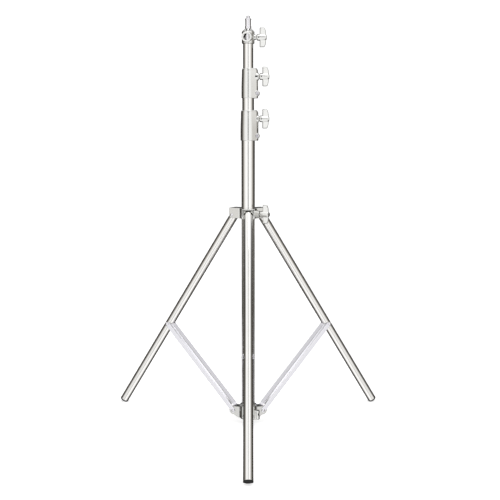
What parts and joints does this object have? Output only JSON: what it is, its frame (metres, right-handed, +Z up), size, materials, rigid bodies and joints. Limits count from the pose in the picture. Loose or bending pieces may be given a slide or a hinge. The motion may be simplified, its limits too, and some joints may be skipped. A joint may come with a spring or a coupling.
{
  "type": "telescoping lighting stand",
  "caption": "Freestanding folding lighting stand: telescoping round column with clamp knobs, three braced tubular legs and a stud spigot with a crossing socket on top.",
  "frame": {"origin": "middle of the foot print's bounding box, on the floor", "axes": "+Z up along the column; -Y towards the front leg; +X the side that the column's clamp knobs are on"},
  "size_m": [0.8148, 0.7092, 1.1727],
  "materials": {
    "polished_steel": "mirror-polished stainless tube",
    "satin_casting": "satin bright die casting",
    "bright_steel": "bright plated steel",
    "zinc_pressing": "zinc-plated pressing with a faint blue cast",
    "nylon": "natural nylon",
    "brass": "turned",
    "black_rubber": "matt black",
    "black_steel": "black oxide"
  },
  "bodies": {
    "column": {"base_tube": "polished_steel", "base_end_plug": "black_rubber", "lower_collar": "satin_casting", "lower_collar_screw": "bright_steel", "lower_bushing": "nylon", "lower_collar_brake_shoe": "brass", "lower_spider": "satin_casting", "lower_spider_set_screw": "black_steel", "front_brace_pin": "bright_steel", "right_brace_pin": "bright_steel", "left_brace_pin": "bright_steel"},
    "mid_riser": {"mid_tube": "polished_steel", "mid_tube_guide": "nylon", "upper_collar": "satin_casting", "upper_collar_screw": "bright_steel", "upper_bushing": "nylon", "upper_collar_brake_shoe": "brass"},
    "top_riser": {"top_tube": "polished_steel", "top_tube_guide": "nylon", "head": "satin_casting", "head_brake_shoe": "brass"},
    "spigot": {"spigot": "bright_steel"},
    "head_knob": {"head_knob": "satin_casting", "head_knob_stud": "bright_steel"},
    "upper_knob": {"upper_collar_knob": "satin_casting", "upper_collar_knob_stud": "bright_steel"},
    "lower_knob": {"lower_collar_knob": "satin_casting", "lower_collar_knob_stud": "bright_steel"},
    "spider": {"top_spider": "satin_casting", "spider_brake_shoe": "brass", "front_leg_bolt": "bright_steel", "right_leg_bolt": "bright_steel", "left_leg_bolt": "bright_steel"},
    "spider_knob": {"spider_knob": "satin_casting", "spider_knob_stud": "bright_steel"},
    "front_leg": {"front_leg_tube": "polished_steel", "front_leg_cap": "polished_steel", "front_leg_foot": "black_rubber"},
    "front_brace": {"front_brace": "zinc_pressing", "front_rivet_a": "bright_steel", "front_rivet_b": "bright_steel"},
    "right_leg": {"right_leg_tube": "polished_steel", "right_leg_cap": "polished_steel", "right_leg_foot": "black_rubber"},
    "right_brace": {"right_brace": "zinc_pressing", "right_rivet_a": "bright_steel", "right_rivet_b": "bright_steel"},
    "left_leg": {"left_leg_tube": "polished_steel", "left_leg_cap": "polished_steel", "left_leg_foot": "black_rubber"},
    "left_brace": {"left_brace": "zinc_pressing", "left_rivet_a": "bright_steel", "left_rivet_b": "bright_steel"}
  },
  "joints": [
    {"name": "mid_riser_slide", "type": "slide", "parent": "column", "child": "mid_riser", "axis": [0, 0, 1], "range_m": [0, 0.7]},
    {"name": "top_riser_slide", "type": "slide", "parent": "mid_riser", "child": "top_riser", "axis": [0, 0, 1], "range_m": [0, 0.78]},
    {"name": "spigot_lift", "type": "slide", "parent": "top_riser", "child": "spigot", "axis": [0, 0, 1], "range_m": [0, 0.036]},
    {"name": "head_knob_turn", "type": "hinge", "parent": "top_riser", "child": "head_knob", "pos_m": [0.0228, 0.11351, 1.1145], "axis": [1, 0, 0], "range_deg": [0, 360]},
    {"name": "upper_knob_turn", "type": "hinge", "parent": "mid_riser", "child": "upper_knob", "pos_m": [0.0306, 0.11351, 1.0071], "axis": [1, 0, 0], "range_deg": [0, 360]},
    {"name": "lower_knob_turn", "type": "hinge", "parent": "column", "child": "lower_knob", "pos_m": [0.0306, 0.11351, 0.89], "axis": [1, 0, 0], "range_deg": [0, 360]},
    {"name": "spider_slide", "type": "slide", "parent": "column", "child": "spider", "axis": [0, 0, 1], "range_m": [0, 0.1622]},
    {"name": "spider_knob_turn", "type": "hinge", "parent": "spider", "child": "spider_knob", "pos_m": [0.03395, 0.09391, 0.6225], "axis": [0.866, -0.5, 0], "range_deg": [0, 360]},
    {"name": "front_leg_fold", "type": "hinge", "parent": "spider", "child": "front_leg", "pos_m": [0, 0.06911, 0.6183], "axis": [1, 0, 0], "range_deg": [0, 28.06]},
    {"name": "front_brace_fold", "type": "hinge", "parent": "column", "child": "front_brace", "pos_m": [0, 0.06891, 0.039], "axis": [-1, 0, 0], "range_deg": [0, 37.28]},
    {"name": "right_leg_fold", "type": "hinge", "parent": "spider", "child": "right_leg", "pos_m": [0.03845, 0.13571, 0.6183], "axis": [-0.5, 0.866, 0], "range_deg": [0, 28.06]},
    {"name": "right_brace_fold", "type": "hinge", "parent": "column", "child": "right_brace", "pos_m": [0.03862, 0.13581, 0.039], "axis": [0.5, -0.866, 0], "range_deg": [0, 37.28]},
    {"name": "left_leg_fold", "type": "hinge", "parent": "spider", "child": "left_leg", "pos_m": [-0.03845, 0.13571, 0.6183], "axis": [-0.5, -0.866, 0], "range_deg": [0, 28.06]},
    {"name": "left_brace_fold", "type": "hinge", "parent": "column", "child": "left_brace", "pos_m": [-0.03862, 0.13581, 0.039], "axis": [0.5, 0.866, 0], "range_deg": [0, 37.28]}
  ],
  "couplings": [
    {"joint": "front_leg_fold", "follows": "spider_slide", "rad_per_m": 3.0135},
    {"joint": "front_brace_fold", "follows": "spider_slide", "rad_per_m": 4.0064},
    {"joint": "right_leg_fold", "follows": "spider_slide", "rad_per_m": 3.0135},
    {"joint": "right_brace_fold", "follows": "spider_slide", "rad_per_m": 4.0064},
    {"joint": "left_leg_fold", "follows": "spider_slide", "rad_per_m": 3.0135},
    {"joint": "left_brace_fold", "follows": "spider_slide", "rad_per_m": 4.0064}
  ]
}
